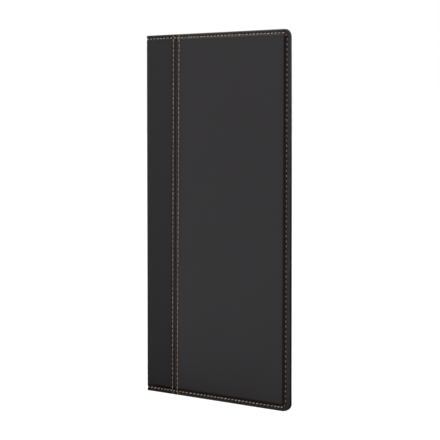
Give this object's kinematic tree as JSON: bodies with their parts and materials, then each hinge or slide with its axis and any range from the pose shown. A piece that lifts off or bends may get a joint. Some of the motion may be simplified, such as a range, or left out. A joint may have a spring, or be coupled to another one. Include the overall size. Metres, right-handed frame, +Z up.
{
  "type": "guest check presenter",
  "caption": "Slim folding guest check presenter: stitched leatherette covers on a folding spine, with pockets inside for a bill and a card.",
  "frame": {"origin": "middle of the foot of the closed folder, halfway through its thickness", "axes": "+Z up the height, +X from the spine to the fore-edge, +Y through the closed folder from the front cover to the back cover"},
  "size_m": [0.13, 0.0042, 0.24],
  "materials": {
    "panel_leatherette": "satin",
    "band_leatherette": "satin",
    "pocket_leatherette": "satin",
    "stiffener_board": "matte",
    "lining_fabric": "matte",
    "sewing_thread": "satin"
  },
  "bodies": {
    "back_cover": {"back_panel": "panel_leatherette", "back_spine_band": "band_leatherette", "back_board": "stiffener_board", "back_lining": "lining_fabric", "back_edge_stitches": "sewing_thread", "back_seam_stitches": "sewing_thread", "bill_pocket": "pocket_leatherette", "bill_pocket_stitches": "sewing_thread"},
    "spine": {"spine_band_fold": "band_leatherette", "spine_strip": "stiffener_board", "spine_lining": "lining_fabric"},
    "front_cover": {"front_panel": "panel_leatherette", "front_spine_band": "band_leatherette", "front_board": "stiffener_board", "front_lining": "lining_fabric", "front_edge_stitches": "sewing_thread", "front_seam_stitches": "sewing_thread", "card_pocket": "pocket_leatherette", "card_pocket_stitches": "sewing_thread"}
  },
  "joints": [
    {"name": "spine_fold", "type": "hinge", "parent": "back_cover", "child": "spine", "pos_m": [-0.0638, 0.0009, 0.12], "axis": [0, 0, -1], "range_deg": [0, 90], "deforming": ["spine_band_fold", "spine_lining"]},
    {"name": "cover_fold", "type": "hinge", "parent": "spine", "child": "front_cover", "pos_m": [-0.0638, -0.0009, 0.12], "axis": [0, 0, -1], "range_deg": [0, 90], "deforming": ["spine_band_fold", "spine_lining"]}
  ],
  "couplings": [
    {"joint": "cover_fold", "follows": "spine_fold", "ratio": 1}
  ]
}
